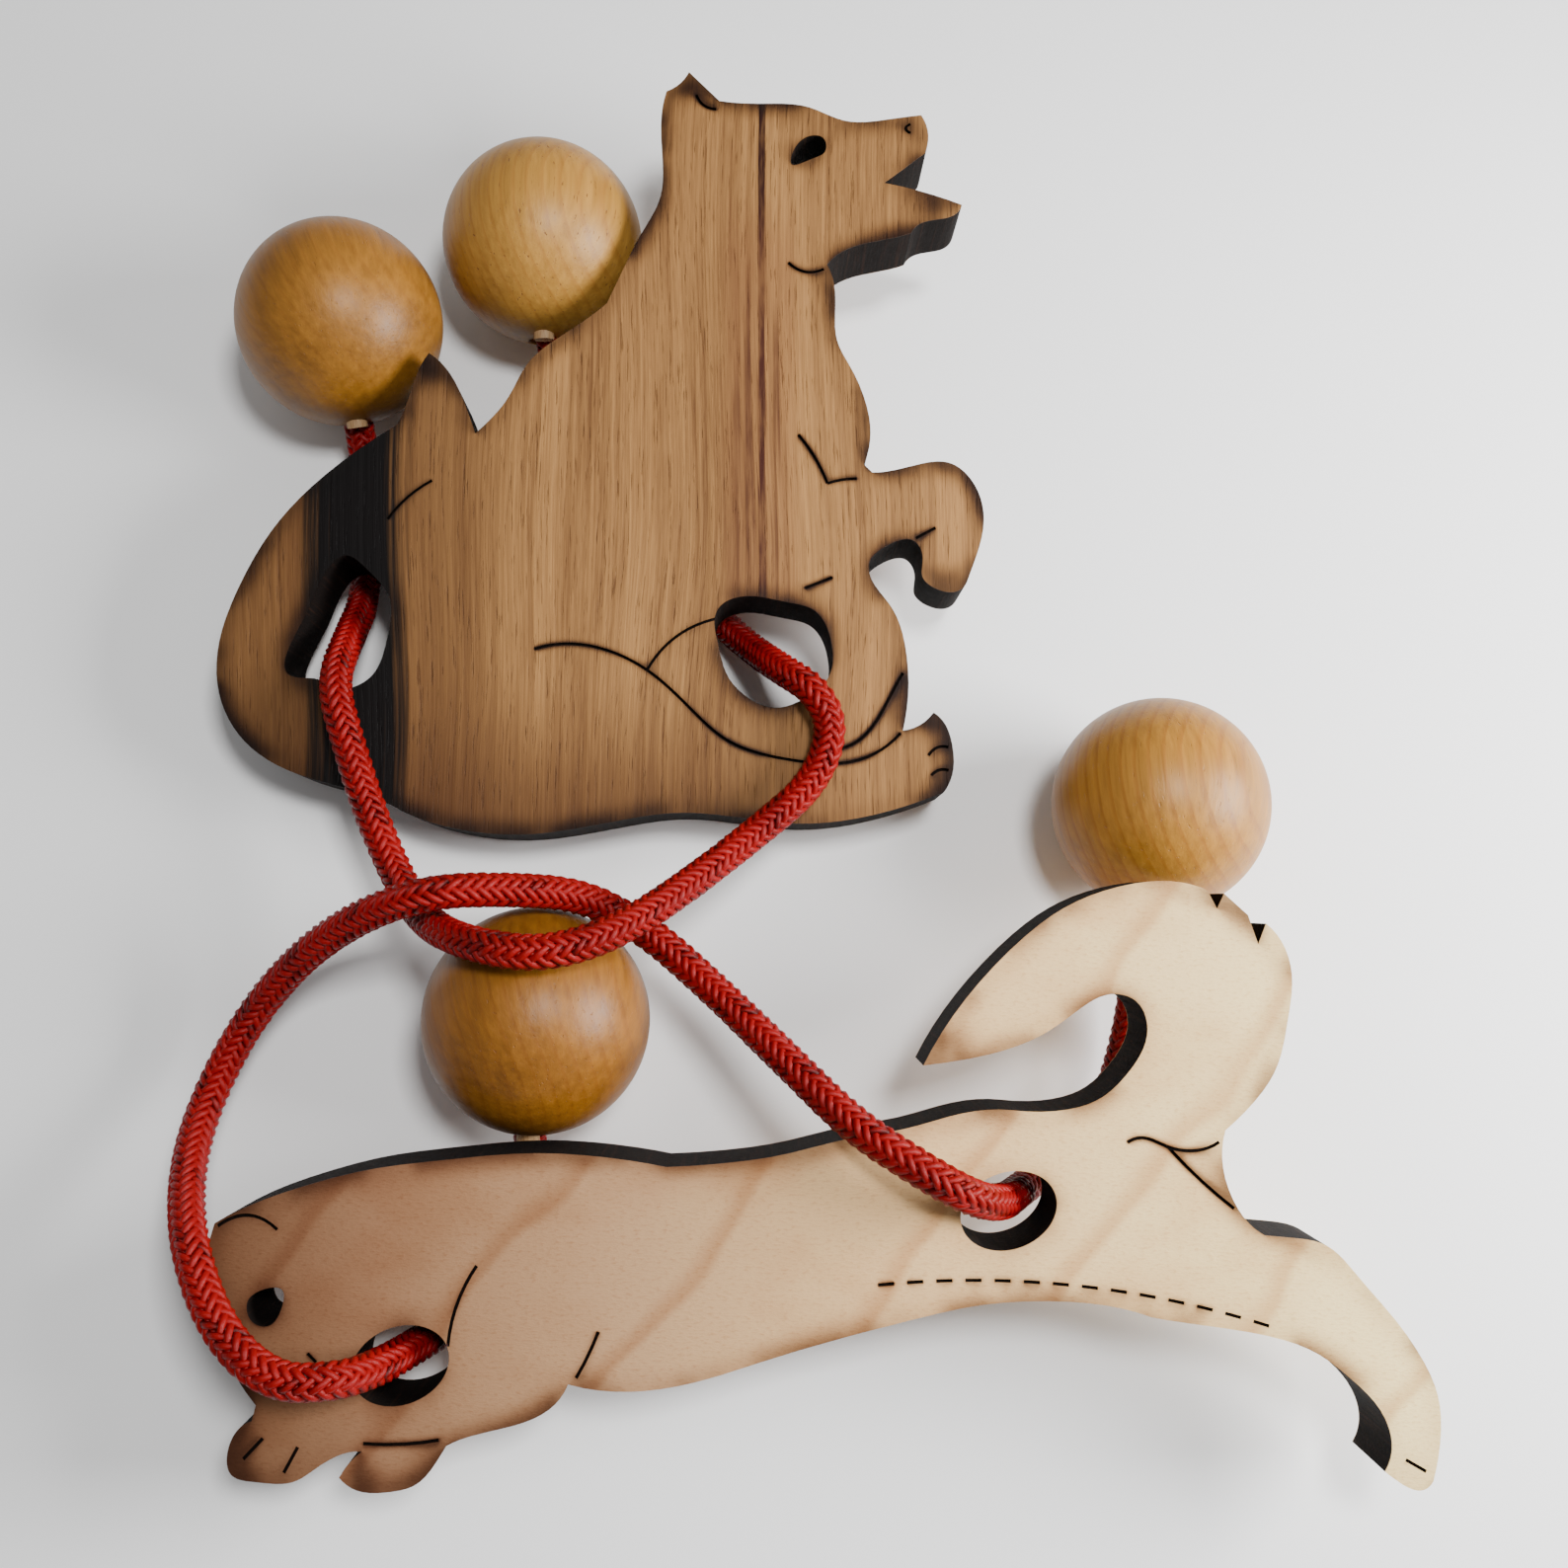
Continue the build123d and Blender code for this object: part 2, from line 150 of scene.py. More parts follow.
def route_line(name, points):
    curve = bpy.data.curves.new(name + "_route", "CURVE")
    curve.dimensions = "3D"
    spline = curve.splines.new("NURBS")
    spline.points.add(len(points) - 1)
    for point, place in zip(spline.points, points):
        point.co = (*place, 1.0)
    spline.order_u = 3
    spline.use_endpoint_u = True
    spline.resolution_u = SPLINE_STEPS
    holder = bpy.data.objects.new(name + "_route", curve)
    bpy.context.scene.collection.objects.link(holder)
    line = bpy.data.meshes.new_from_object(holder)
    places = [vertex.co.copy() for vertex in line.vertices]
    bpy.data.objects.remove(holder)
    return places


def line_length(places):
    return sum((b - a).length for a, b in zip(places, places[1:]))


def whole_route(first, route, last):
    return cord_end(first) + [Vector(p) * MM for p in route] + cord_end(last)[::-1]


dog_line = route_line("dog_cord", whole_route("dog_tail_ball", DOG_CORD, "dog_back_ball"))
fox_line = route_line("fox_cord", whole_route("fox_head_ball", FOX_CORD, "fox_tail_ball"))
for name, line in (("dog's cord", dog_line), ("fox's cord", fox_line)):
    print(name, round(line_length(line), 4), "m")

# %% [markdown]
# ## The braid
# The cord is a round braid: half of its strands wind one way and half the other, and each strand
# passes over two of the others and then under two. That gives the V-shaped picks of a real
# braided cord. It could be painted on as a texture, but the strands catch the light one by one
# and give the cord its knobbly outline, so they are modelled. Each strand is a poly spline that
# winds round the line and dips in and out, and the curve's own bevel gives it thickness. A plain
# core fills the inside.

# %% Walk along a line in even steps, with a frame that doesn't twist
CORD_D = 4.0 * MM
BRAID_PITCH = 10.0 * MM     # one full turn of a strand
CARRIERS = 8                # strands in each direction
STRAND_R = 0.43 * MM
STRAND_DIP = 0.20 * MM      # how far a strand moves in and out
BRAID_STEP = 0.32 * MM
CORE_STRIDE = 3             # the core takes every third of those steps
STRAND_ROUNDING, CORE_ROUNDING = 1, 2
STRAND_CIRCLE = CORD_D / 2 - STRAND_R - STRAND_DIP


def even_steps(places, step):
    total = line_length(places)
    count = int(total / step)
    steps = []
    index = 0
    walked = 0.0
    for i in range(count + 1):
        target = total * i / count
        while index < len(places) - 2:
            reach = walked + (places[index + 1] - places[index]).length
            if reach >= target:
                break
            walked = reach
            index += 1
        span = (places[index + 1] - places[index]).length
        steps.append(places[index].lerp(places[index + 1], min(1.0, (target - walked) / span)))
    return steps


def frames_along(steps):
    frames = []
    side = Vector((0, 0, 1))
    for i, place in enumerate(steps):
        along = (steps[min(i + 1, len(steps) - 1)] - steps[max(i - 1, 0)]).normalized()
        side = (side - along * side.dot(along)).normalized()
        frames.append((place, side.copy(), along.cross(side)))
    return frames


def strand_places(frames, carrier, way, total):
    places = []
    for i, (place, side, other) in enumerate(frames):
        turn = total * i / (len(frames) - 1) / BRAID_PITCH
        crossing = 2 * CARRIERS * turn * way + 2 * carrier
        radius = STRAND_CIRCLE + way * STRAND_DIP * cos(pi / 2 * (crossing - 0.5))
        angle = 2 * pi * (carrier / CARRIERS + way * turn)
        places.append(place + side * cos(angle) * radius + other * sin(angle) * radius)
    return places


# %% Make a bundle of poly splines into one mesh
WELD = 0.0005 * MM          # vertices closer than this are one vertex


def tubes_mesh(name, bundles, radius, rounding):
    curve = bpy.data.curves.new(name, "CURVE")
    curve.dimensions = "3D"
    curve.bevel_depth = radius
    curve.bevel_resolution = rounding
    curve.use_fill_caps = True
    for places in bundles:
        spline = curve.splines.new("POLY")
        spline.points.add(len(places) - 1)
        flat = [value for place in places for value in (*place, 1.0)]
        spline.points.foreach_set("co", flat)
    tube = bpy.data.objects.new(name, curve)
    bpy.context.scene.collection.objects.link(tube)
    bpy.ops.object.select_all(action="DESELECT")
    tube.select_set(True)
    bpy.context.view_layer.objects.active = tube
    bpy.ops.object.convert(target="MESH")
    # each end cap comes loose from its tube, so the two are welded
    bpy.ops.object.mode_set(mode="EDIT")
    bpy.ops.mesh.select_all(action="SELECT")
    bpy.ops.mesh.remove_doubles(threshold=WELD)
    bpy.ops.object.mode_set(mode="OBJECT")
    tube.data.polygons.foreach_set("use_smooth", [True] * len(tube.data.polygons))
    return tube


def braided_cord(name, line):
    steps = even_steps(line, BRAID_STEP)
    frames = frames_along(steps)
    total = line_length(line)
    strands = [strand_places(frames, c, way, total) for way in (1, -1) for c in range(CARRIERS)]
    braid = tubes_mesh(name, strands, STRAND_R, STRAND_ROUNDING)
    middle = steps[::CORE_STRIDE] + [steps[-1]]
    core = tubes_mesh(name + "_core", [middle], STRAND_CIRCLE, CORE_ROUNDING)
    return braid, core, steps


dog_braid, dog_core, dog_steps = braided_cord("dog_cord_braid", dog_line)
fox_braid, fox_core, fox_steps = braided_cord("fox_cord_braid", fox_line)
for piece in (dog_braid, fox_braid):
    print(piece.name, len(piece.data.polygons), "faces")

# %% [markdown]
# ## Each cord in place of its tube
# Each cord stands for its plain tube in the design model, which is hidden. When the figures are
# pulled apart, the hooked loops share the movement. Here each cord's braid and core are only fixed
# in place.

CORDS = [
    # braid, core, middle line, the ball it starts in, the design model's node
    (dog_braid, dog_core, dog_steps, "dog_tail_ball", "dog_cord"),
    (fox_braid, fox_core, fox_steps, "fox_head_ball", "fox_cord"),
]
for braid, core, steps, first, node in CORDS:
    for piece in (braid, core):
        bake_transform(piece)
    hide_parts(node)

# %% [markdown]
# ## The drilled balls
# Each ball is a turned wooden ball with a blind hole for the end of the cord and a smaller one
# beside it for a peg. A sphere with a hole cut by a Boolean would have a knife-sharp rim. So the
# sphere is added with its pole where the cord's hole will be. The faces at the pole are dissolved
# into one, which is brought to the rim's radius, extruded in small steps that round the rim, and
# then extruded down to the hole's bottom. Only the peg's hole, which lies beside the pole, is cut
# by a Boolean.

# %% A ball with its hole at the top
PEG_OFFSET = 3.1 * MM
PEG_HOLE_R = 1.31 * MM
DRILL_LENGTH = 8.2 * MM
DRILL_PROUD = 0.9 * MM      # how far the drill stands out over the ball
DRILL_SIDES = 40
RIM_BEVEL = 0.25 * MM
RIM_STEPS = 4               # steps that round the rim
BALL_SEGMENTS, BALL_RINGS = 96, 60
SHARP_ANGLE = radians(40)


def pick_faces(piece, wanted):
    bpy.ops.object.select_all(action="DESELECT")
    piece.select_set(True)
    bpy.context.view_layer.objects.active = piece
    bpy.ops.object.mode_set(mode="EDIT")
    bpy.ops.mesh.select_mode(type="FACE")
    bpy.ops.mesh.select_all(action="DESELECT")
    bpy.ops.object.mode_set(mode="OBJECT")
    for face in piece.data.polygons:
        face.select = wanted(face)
    bpy.ops.object.mode_set(mode="EDIT")


def bored_ball(name):
    bpy.ops.mesh.primitive_uv_sphere_add(
        segments=BALL_SEGMENTS, ring_count=BALL_RINGS, radius=BALL_R)
    ball = bpy.context.object
    ball.name = name
    # all faces at the pole, as far out as the rim of the hole, become one
    rim_height = sqrt(BALL_R**2 - (BORE_R + RIM_BEVEL) ** 2)
    pick_faces(ball, lambda face: face.center.z > rim_height)
    bpy.ops.mesh.dissolve_faces()
    bpy.ops.object.mode_set(mode="OBJECT")
    cap = max(ball.data.polygons, key=lambda face: face.center.z)
    cap_radius = max(ball.data.vertices[i].co.xy.length for i in cap.vertices)
    cap_height = cap.center.z
    cap_index = cap.index
    pick_faces(ball, lambda face: face.index == cap_index)
    fit = (BORE_R + RIM_BEVEL) / cap_radius
    bpy.ops.transform.resize(value=(fit, fit, 1), center_override=(0, 0, cap_height))
    bpy.ops.transform.translate(value=(0, 0, rim_height - cap_height))
    part = pi / 2 / RIM_STEPS
    for i in range(1, RIM_STEPS + 1):
        turn = i * part
        ring = BORE_R + RIM_BEVEL * (1 - sin(turn))
        before = BORE_R + RIM_BEVEL * (1 - sin(turn - part))
        drop = RIM_BEVEL * (cos(turn - part) - cos(turn))
        bpy.ops.mesh.extrude_region_move(TRANSFORM_OT_translate={"value": (0, 0, -drop)})
        shrink = ring / before
        bpy.ops.transform.resize(value=(shrink, shrink, 1), center_override=(0, 0, 0))
    bottom = BALL_R - BORE_DEPTH
    bpy.ops.mesh.extrude_region_move(
        TRANSFORM_OT_translate={"value": (0, 0, bottom - (rim_height - RIM_BEVEL))})
    bpy.ops.object.mode_set(mode="OBJECT")
    return ball


# %% Cut the peg's hole and put the ball in its place
def cut_peg_hole(ball):
    bpy.ops.mesh.primitive_cylinder_add(
        vertices=DRILL_SIDES, radius=PEG_HOLE_R, depth=DRILL_LENGTH,
        location=(0, PEG_OFFSET, BALL_R + DRILL_PROUD - DRILL_LENGTH / 2))
    drill = bpy.context.object
    cut = ball.modifiers.new("peg_hole", "BOOLEAN")
    cut.operation = "DIFFERENCE"
    cut.solver = "EXACT"
    cut.object = drill
    bpy.ops.object.select_all(action="DESELECT")
    ball.select_set(True)
    bpy.context.view_layer.objects.active = ball
    bpy.ops.object.modifier_apply(modifier=cut.name)
    bpy.data.objects.remove(drill)


def ball_turn(name):
    # the ball's own +Z becomes the bore's way out, and its +Y the upper side, where the peg is
    way = bore_way(name)
    level = Vector((0, 0, 1)).cross(way).normalized()
    above = way.cross(level)
    if above.z < 0:
        level, above = -level, -above
    return Matrix((level, above, way)).transposed()


for name in BALLS:
    ball = bored_ball(name + "_turned")
    cut_peg_hole(ball)
    bpy.ops.object.shade_smooth_by_angle(angle=SHARP_ANGLE)
    ball.data.transform(Matrix.Translation(ball_centre(name)) @ ball_turn(name).to_4x4())
    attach(ball, name)
    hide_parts(name)
    BALLS[name]["piece"] = ball
    print(ball.name, len(ball.data.polygons), "faces")

# %% [markdown]
# ## Building blocks for the finishes
# Every finish is worked out by shader nodes from the place on the piece, so it has no picture
# files and no seams. These helpers add one node each and return its output, so that a finish
# reads like a recipe. Places are counted in millimetres from each board's own corner: u along it,
# v up it, w out of its front.

# %% Helpers that add one shader node each
def feed(tree, socket, value):
    if isinstance(value, bpy.types.NodeSocket):
        tree.links.new(value, socket)
    else:
        socket.default_value = value


def calc(tree, operation, *values):
    node = tree.nodes.new("ShaderNodeMath")
    node.operation = operation
    for socket, value in zip(node.inputs, values):
        feed(tree, socket, value)
    return node.outputs[0]


def place_in(tree, corner, turn):
    # own coordinates in millimetres, counted from a corner and along turned axes
    coordinates = tree.nodes.new("ShaderNodeTexCoord")
    mapping = tree.nodes.new("ShaderNodeMapping")
    mapping.vector_type = "TEXTURE"
    mapping.inputs["Location"].default_value = corner
    mapping.inputs["Rotation"].default_value = turn
    mapping.inputs["Scale"].default_value = (MM, MM, MM)
    tree.links.new(coordinates.outputs["Object"], mapping.inputs["Vector"])
    return mapping.outputs[0]


def stretch(tree, where, scale):
    mapping = tree.nodes.new("ShaderNodeMapping")
    mapping.inputs["Scale"].default_value = scale
    tree.links.new(where, mapping.inputs["Vector"])
    return mapping.outputs[0]


def noise(tree, where, scale=(1, 1, 1), detail=3.0, roughness=0.5):
    node = tree.nodes.new("ShaderNodeTexNoise")
    node.inputs["Scale"].default_value = 1.0
    node.inputs["Detail"].default_value = detail
    node.inputs["Roughness"].default_value = roughness
    tree.links.new(stretch(tree, where, scale), node.inputs["Vector"])
    return node.outputs[0]


def split(tree, where):
    node = tree.nodes.new("ShaderNodeSeparateXYZ")
    tree.links.new(where, node.inputs[0])
    return node.outputs[0], node.outputs[1], node.outputs[2]


def join(tree, x, y, z):
    node = tree.nodes.new("ShaderNodeCombineXYZ")
    for socket, value in zip(node.inputs, (x, y, z)):
        feed(tree, socket, value)
    return node.outputs[0]


def fade(tree, value, start, end):
    # 0 before start, 1 past end, and smooth between them
    node = tree.nodes.new("ShaderNodeMapRange")
    node.interpolation_type = "SMOOTHSTEP"
    node.inputs["From Min"].default_value = start
    node.inputs["From Max"].default_value = end
    tree.links.new(value, node.inputs["Value"])
    return node.outputs[0]


def band(tree, value, start, end, soft):
    # 1 between start and end, fading out over soft on both sides
    return calc(tree, "MULTIPLY", fade(tree, value, start - soft, start),
                calc(tree, "SUBTRACT", 1.0, fade(tree, value, end, end + soft)))


def mix(tree, share, first, second, kind="MIX"):
    node = tree.nodes.new("ShaderNodeMix")
    node.data_type = "RGBA"
    node.blend_type = kind
    feed(tree, node.inputs["Factor"], share)
    feed(tree, node.inputs[6], first)
    feed(tree, node.inputs[7], second)
    return node.outputs[2]


def ramp(tree, value, stops):
    node = tree.nodes.new("ShaderNodeValToRGB")
    points = node.color_ramp.elements
    while len(points) < len(stops):
        points.new(0.5)
    for point, (position, colour) in zip(points, stops):
        point.position = position
        point.color = colour
    tree.links.new(value, node.inputs[0])
    return node.outputs[0]


def bump(tree, height, depth):
    node = tree.nodes.new("ShaderNodeBump")
    node.inputs["Distance"].default_value = depth
    node.inputs["Strength"].default_value = 1.0
    tree.links.new(height, node.inputs["Height"])
    return node.outputs[0]


def rgb(red, green, blue):
    # a colour given as on a paint chart, 0 to 255, turned into linear light by the sRGB rule
    parts = [c / 255 for c in (red, green, blue)]
    linear = [c / 12.92 if c < 0.04045 else ((c + 0.055) / 1.055) ** 2.4 for c in parts]
    return (*linear, 1.0)


def new_finish(name):
    finish = bpy.data.materials.new(name)
    finish.use_nodes = True
    return finish, finish.node_tree, finish.node_tree.nodes["Principled BSDF"]


print("helpers ready")

# %% [markdown]
# ## Sawn and scorched edges
# Both figures are cut out by a laser, which leaves their walls and the engraved lines charred,
# and scorches a narrow brown halo on the face beside them. The board's own coordinates tell the
# walls from the faces: anything between the two faces is a wall or a groove. How near a wall is
# comes from the Ambient Occlusion node, looking inwards from the face.

# %% Char and halo for a board
BOARD = 9.0                 # in millimetres, as the boards' own coordinates are
SKIN = 0.12                 # how far the char shows on the edge of a face
HALO_REACH = 4.2 * MM
CHAR = rgb(12, 6, 4)
CHAR_STREAK = rgb(36, 20, 12)
AO_SAMPLES = 12
HALO_FADE = (0.5, 0.9)      # openness at which the halo is full and gone
SOOT_FADE = (0.45, 0.7)
SOOT_SHARE = 0.8


def scorched(tree, where, wood, halo_colour, halo_strength):
    u, v, w = split(tree, where)
    wall = calc(tree, "MULTIPLY", calc(tree, "GREATER_THAN", w, SKIN),
                calc(tree, "LESS_THAN", w, BOARD - SKIN))
    near = tree.nodes.new("ShaderNodeAmbientOcclusion")
    near.inside = True
    near.only_local = True
    near.samples = AO_SAMPLES
    near.inputs["Distance"].default_value = HALO_REACH
    edge = calc(tree, "SUBTRACT", 1.0, fade(tree, near.outputs["AO"], *HALO_FADE))
    patches = fade(tree, noise(tree, where, (0.1, 0.1, 0.1), 2.0), 0.38, 0.62)
    uneven = calc(tree, "MULTIPLY_ADD", patches, 0.7, 0.3)
    halo = calc(tree, "MULTIPLY", calc(tree, "MULTIPLY", edge, uneven), halo_strength)
    face = mix(tree, halo, wood, halo_colour, "MULTIPLY")
    soot = calc(tree, "SUBTRACT", 1.0, fade(tree, near.outputs["AO"], *SOOT_FADE))
    soot = calc(tree, "MULTIPLY", calc(tree, "MULTIPLY", soot, patches), halo_strength * SOOT_SHARE)
    face = mix(tree, soot, face, CHAR)
    streaks = noise(tree, where, (2.2, 2.2, 0.08), 4.0, 0.6)
    charred = mix(tree, fade(tree, streaks, 0.5, 0.75), CHAR, CHAR_STREAK)
    return mix(tree, wall, face, charred), wall, streaks


# %% [markdown]
# ## Walnut for the dog
# The dog is dark walnut with its grain running up and down: fine lines, short dark pores, a broad
# near-black stripe of heartwood behind its back, and a thin red-brown streak down from its head.
# All of them follow the same slightly bent grain, so the place along u is first shifted by a slow
# noise.

# %% Make the walnut
def board_turn(lean, tip):
    turn = Matrix.Rotation(radians(lean), 3, "X") @ Matrix.Rotation(radians(tip), 3, "Y")
    return turn.to_euler("XYZ")


DOG_CORNER = Vector((-66.8, -10.7, 0.4)) * MM
DOG_TURN = board_turn(8.4, -1.0)
WALNUT_LIGHT = rgb(162, 118, 70)
WALNUT_DARK = rgb(98, 65, 36)
HEARTWOOD = rgb(5, 2, 2)
STREAK_BROWN = rgb(36, 9, 8)
PORE_BROWN = rgb(60, 32, 16)
# this brown paints the tail end darker: partly the wood's own tone, partly painted shade
LEFT_TONE_AND_SHADE_BROWN = rgb(66, 38, 18)
# this brown darkens the wood towards the sole
SOLE_DARK_BROWN = rgb(64, 36, 18)
BLUSH_BROWN = rgb(92, 48, 32)
WALNUT_HALO = rgb(92, 54, 32)
# stretches along the board, in millimetres: start, end, softness of the sides
LEFT_TONE_AND_SHADE_BAND = (-20.0, 26.0, 14.0)
HEART_STRIPE = (12.8, 19.8, 3.6)
BLUSH_WIDE = (62.0, 67.6, 3.0)
BLUSH_HIGH = (22.0, 70.0, 12.0)
SOLE_DARK_HEIGHT = (-6.0, 14.0)     # full below the first, none over the second
SOLE_DARK_REACH = (50.0, 84.0)
WOOD_SHINE = 0.12
WALNUT_RELIEF = 0.09 * MM

walnut, tree, shader = new_finish("walnut_scorched")
where = place_in(tree, DOG_CORNER, DOG_TURN)
u, v, w = split(tree, where)
sway = calc(tree, "MULTIPLY_ADD", noise(tree, where, (0.03, 0.02, 0.03), 1.0), 5.0, -2.5)
grain_u = calc(tree, "ADD", u, sway)
grain = join(tree, grain_u, v, w)
lines = noise(tree, grain, (1.5, 0.022, 0.6), 6.0, 0.62)
fibres = noise(tree, grain, (4.5, 0.12, 4.5), 5.0, 0.7)
bands = noise(tree, grain, (0.13, 0.006, 0.1), 3.0, 0.5)
pores = fade(tree, noise(tree, grain, (5.5, 0.22, 5.5), 2.0, 0.5), 0.60, 0.72)
tone = calc(tree, "MULTIPLY_ADD", bands, 1.5, calc(tree, "MULTIPLY_ADD", lines, 1.3, -1.6))
tone = calc(tree, "MULTIPLY_ADD", fibres, 1.5, tone)
wood = mix(tree, tone, WALNUT_DARK, WALNUT_LIGHT)
wood = mix(tree, calc(tree, "MULTIPLY", pores, 0.55), wood, PORE_BROWN)

# the heartwood's sides are ragged, because it stops at single grain lines
ragged = calc(tree, "MULTIPLY_ADD", lines, 7.0, calc(tree, "ADD", grain_u, -3.5))
# over the tail and left of the heartwood the wood is painted darker brown: partly its own darker
# tone beside the heartwood, partly painted shade, as the light falls off towards the left
left_tone_and_shade = band(tree, ragged, *LEFT_TONE_AND_SHADE_BAND)
wood = mix(tree, calc(tree, "MULTIPLY", left_tone_and_shade, 0.6), wood, LEFT_TONE_AND_SHADE_BROWN)
# the wood is darker towards the sole, up to 50 to 84 mm along the board
sole_dark_top = calc(tree, "MULTIPLY_ADD", bands, -14.0, v)
sole_dark = calc(tree, "SUBTRACT", 1.0, fade(tree, sole_dark_top, *SOLE_DARK_HEIGHT))
sole_dark = calc(tree, "MULTIPLY", sole_dark, calc(tree, "SUBTRACT", 1.0, fade(tree, u, *SOLE_DARK_REACH)))
wood = mix(tree, calc(tree, "MULTIPLY", sole_dark, 0.7), wood, SOLE_DARK_BROWN)
stripe = band(tree, ragged, *HEART_STRIPE)
wood = mix(tree, stripe, wood, HEARTWOOD)

# thin streaks: the strongest one runs on up into the head, the others come and go
STREAKS = [
    # middle, half width, bottom, top, strength
    (65.0, 0.22, 24.0, 96.0, 1.0), (66.6, 0.12, 24.0, 60.0, 0.6), (63.3, 0.12, 34.0, 66.0, 0.75),
    (61.9, 0.08, 30.0, 52.0, 0.5), (67.9, 0.08, 20.0, 44.0, 0.4),
]
patchy = fade(tree, noise(tree, where, (0.6, 0.09, 0.6), 3.0, 0.6), 0.3, 0.6)
for centre, half, bottom, top, share in STREAKS:
    thin = calc(tree, "MULTIPLY_ADD", lines, 2.4, calc(tree, "ADD", u, -1.2))
    line = band(tree, thin, centre - half, centre + half, 0.4)
    line = calc(tree, "MULTIPLY", line, band(tree, v, bottom, top, 8.0))
    line = calc(tree, "MULTIPLY", line, calc(tree, "MULTIPLY_ADD", patchy, 0.6, 0.4))
    wood = mix(tree, calc(tree, "MULTIPLY", line, share), wood, STREAK_BROWN)
blush = calc(tree, "MULTIPLY", band(tree, u, *BLUSH_WIDE), band(tree, v, *BLUSH_HIGH))
wood = mix(tree, calc(tree, "MULTIPLY", blush, 0.3), wood, BLUSH_BROWN)

colour, wall, streaks = scorched(tree, where, wood, WALNUT_HALO, 1.0)
feed(tree, shader.inputs["Base Color"], colour)
feed(tree, shader.inputs["Roughness"],
     calc(tree, "MULTIPLY_ADD", wall, 0.28, calc(tree, "MULTIPLY_ADD", lines, 0.2, 0.5)))
relief = calc(tree, "ADD", calc(tree, "MULTIPLY_ADD", pores, -0.6, lines),
              calc(tree, "MULTIPLY", streaks, wall))
feed(tree, shader.inputs["Normal"], bump(tree, relief, WALNUT_RELIEF))
shader.inputs["Specular IOR Level"].default_value = WOOD_SHINE
print(walnut.name, len(tree.nodes), "nodes")

# %% [markdown]
# ## Maple for the fox
# The fox is pale maple, which has almost no grain: soft brownish growth lines that cross the
# board at a slant, a fine fleck, and a slow change from pinkish brown at the head to cream at the
# tail. That change is partly the maple's own tone and partly painted shade: the head end is painted
# darker because the light falls off towards the left.

# %% Make the maple
FOX_CORNER = Vector((-60.6, -81.4, 4.5)) * MM
FOX_TURN = board_turn(10.5, -2.0)
RING_SPACING = 15.0
FOX_LENGTH = 128.5
# the maple's own tone, painted darker towards the head as painted shade, because the light falls
# off towards the left
MAPLE_TONE_AND_SHADE = [
    # share of the fox's length from the head, colour
    (0.0, rgb(98, 66, 44)), (0.14, rgb(142, 104, 76)), (0.36, rgb(184, 146, 108)),
    (0.6, rgb(226, 186, 132)), (1.0, rgb(254, 228, 164)),
]
RING_TINT = rgb(188, 138, 92)
CLOUD_TINT = rgb(214, 184, 160)
FLECK_TINT = rgb(196, 160, 128)
MAPLE_HALO = rgb(150, 96, 52)
MAPLE_RELIEF = 0.06 * MM

maple, tree, shader = new_finish("maple_scorched")
where = place_in(tree, FOX_CORNER, FOX_TURN)
u, v, w = split(tree, where)
wander = noise(tree, where, (0.035, 0.035, 0.02), 2.0)
across = calc(tree, "MULTIPLY_ADD", u, 0.72, calc(tree, "MULTIPLY", v, -0.55))
wavy = calc(tree, "MULTIPLY_ADD", wander, 10.0, across)
rings = calc(tree, "FRACT", calc(tree, "DIVIDE", wavy, RING_SPACING))
ring_line = calc(tree, "MULTIPLY", fade(tree, rings, 0.78, 0.93),
                 calc(tree, "SUBTRACT", 1.0, fade(tree, rings, 0.93, 1.0)))
fleck = noise(tree, where, (1.3, 3.4, 2.0), 4.0, 0.6)
cloud = noise(tree, where, (0.06, 0.1, 0.06), 3.0, 0.55)
cloudy = calc(tree, "MULTIPLY", fade(tree, cloud, 0.42, 0.7), 0.35)
flecked = calc(tree, "MULTIPLY", fade(tree, fleck, 0.5, 0.72), 0.35)
# the tone along the fox, with painted shade towards the head
tone_and_shade = ramp(tree, calc(tree, "DIVIDE", u, FOX_LENGTH), MAPLE_TONE_AND_SHADE)
wood = mix(tree, calc(tree, "MULTIPLY", ring_line, 0.4), tone_and_shade, RING_TINT, "MULTIPLY")
wood = mix(tree, cloudy, wood, CLOUD_TINT, "MULTIPLY")
wood = mix(tree, flecked, wood, FLECK_TINT, "MULTIPLY")
colour, wall, streaks = scorched(tree, where, wood, MAPLE_HALO, 0.75)
feed(tree, shader.inputs["Base Color"], colour)
feed(tree, shader.inputs["Roughness"],
     calc(tree, "MULTIPLY_ADD", wall, 0.3, calc(tree, "MULTIPLY_ADD", fleck, 0.15, 0.48)))
relief = calc(tree, "ADD", fleck, calc(tree, "MULTIPLY", streaks, wall))
feed(tree, shader.inputs["Normal"], bump(tree, relief, MAPLE_RELIEF))
shader.inputs["Specular IOR Level"].default_value = WOOD_SHINE
print(maple.name, len(tree.nodes), "nodes")


def finish_node(node, finish):
    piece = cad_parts[node]
    piece.data.materials.clear()
    piece.data.materials.append(finish)
    return piece


finish_node("dog_figure", walnut)
finish_node("fox_figure", maple)

# %% [markdown]
# ## Oiled wood for the balls
# The balls are turned from a paler wood and oiled, so they shine softly. No two look alike: two
# are amber and mottled, one has fine upright grain with small dark flecks, and one is pale with
# narrow bands. One recipe makes all four. Its growth lines are thin shells round an axis outside
# the ball, as in a ball turned from a thick plank.

